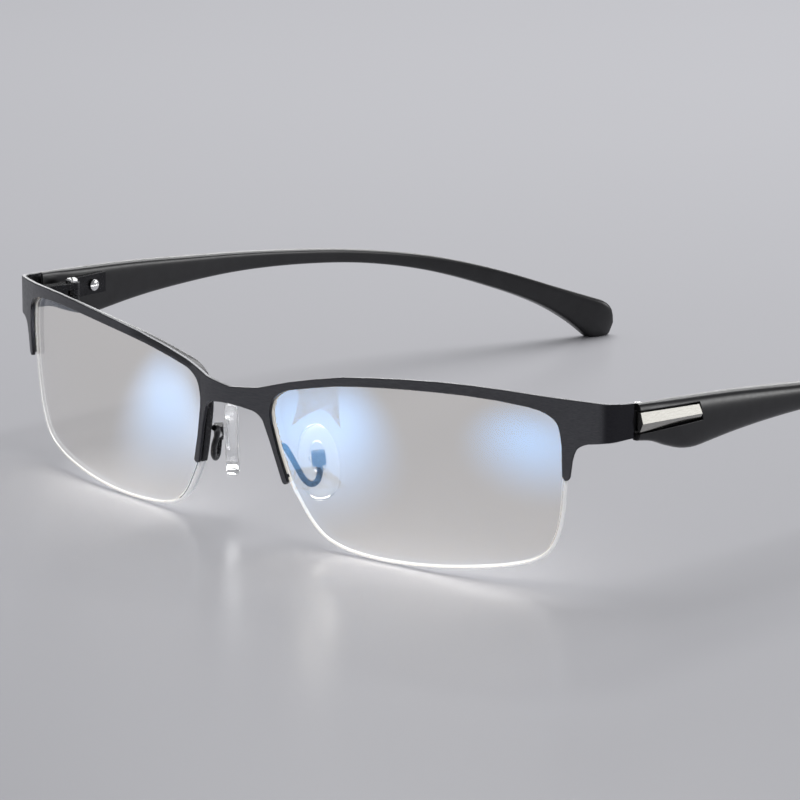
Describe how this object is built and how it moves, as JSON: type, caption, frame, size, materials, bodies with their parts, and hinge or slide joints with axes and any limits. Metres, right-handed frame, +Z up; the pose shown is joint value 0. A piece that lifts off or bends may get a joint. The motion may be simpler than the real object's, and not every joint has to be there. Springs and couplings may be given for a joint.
{
  "type": "half rim eyeglasses",
  "caption": "Half rim eyeglasses: metal brow plate, cord-held rectangular lenses, folding temples and rocking clear nose pads.",
  "frame": {"origin": "on the surface that the glasses stand on, under the middle of their bounding box", "axes": "+Z up, -Y the way the wearer looks, +Y towards the temple tips, +X the wearer's left"},
  "size_m": [0.1446, 0.1598, 0.033],
  "materials": {
    "gunmetal": "satin gunmetal, finely brushed along its length",
    "black_metal": "gloss black plated",
    "clear_nylon": "translucent nylon",
    "lens": "polished clear with a blue-violet coating",
    "steel": "bright",
    "bright_trim": "polished silver, finely brushed",
    "clear_core": "clear moulded",
    "silicone": "clear silicone",
    "satin_black": "satin black, soft sheen"
  },
  "bodies": {
    "front": {"front_plate": "gunmetal", "eyewire_left": "black_metal", "rim_liner_left": "clear_nylon", "lens_left": "lens", "lens_cord_left": "clear_nylon", "pad_arm_left": "black_metal", "pad_box_left": "black_metal", "pad_screw_left": "steel", "front_hinge_left": "black_metal", "hinge_screw_left": "steel", "eyewire_right": "black_metal", "rim_liner_right": "clear_nylon", "lens_right": "lens", "lens_cord_right": "clear_nylon", "pad_arm_right": "black_metal", "pad_box_right": "black_metal", "pad_screw_right": "steel", "front_hinge_right": "black_metal", "hinge_screw_right": "steel"},
    "temple_left": {"temple_left": "satin_black", "temple_hinge_left": "black_metal", "leaf_screw_left": "steel", "temple_trim_left": "bright_trim"},
    "temple_right": {"temple_right": "satin_black", "temple_hinge_right": "black_metal", "leaf_screw_right": "steel", "temple_trim_right": "bright_trim"},
    "nose_pad_left": {"nose_pad_left": "silicone", "pad_core_left": "clear_core"},
    "nose_pad_right": {"nose_pad_right": "silicone", "pad_core_right": "clear_core"}
  },
  "joints": [
    {"name": "temple_left_fold", "type": "hinge", "parent": "front", "child": "temple_left", "pos_m": [0.0656, -0.05308, 0.02733], "axis": [0, 0, 1], "range_deg": [0, 86]},
    {"name": "temple_right_fold", "type": "hinge", "parent": "front", "child": "temple_right", "pos_m": [-0.0656, -0.05308, 0.02733], "axis": [0, 0, -1], "range_deg": [0, 80]},
    {"name": "nose_pad_left_rock", "type": "hinge", "parent": "front", "child": "nose_pad_left", "pos_m": [0.01205, -0.07, 0.01418], "axis": [0.6673, 0.7348, 0.1218], "range_deg": [-8, 8]},
    {"name": "nose_pad_right_rock", "type": "hinge", "parent": "front", "child": "nose_pad_right", "pos_m": [-0.01205, -0.07, 0.01418], "axis": [-0.6673, 0.7348, 0.1218], "range_deg": [-8, 8]}
  ]
}
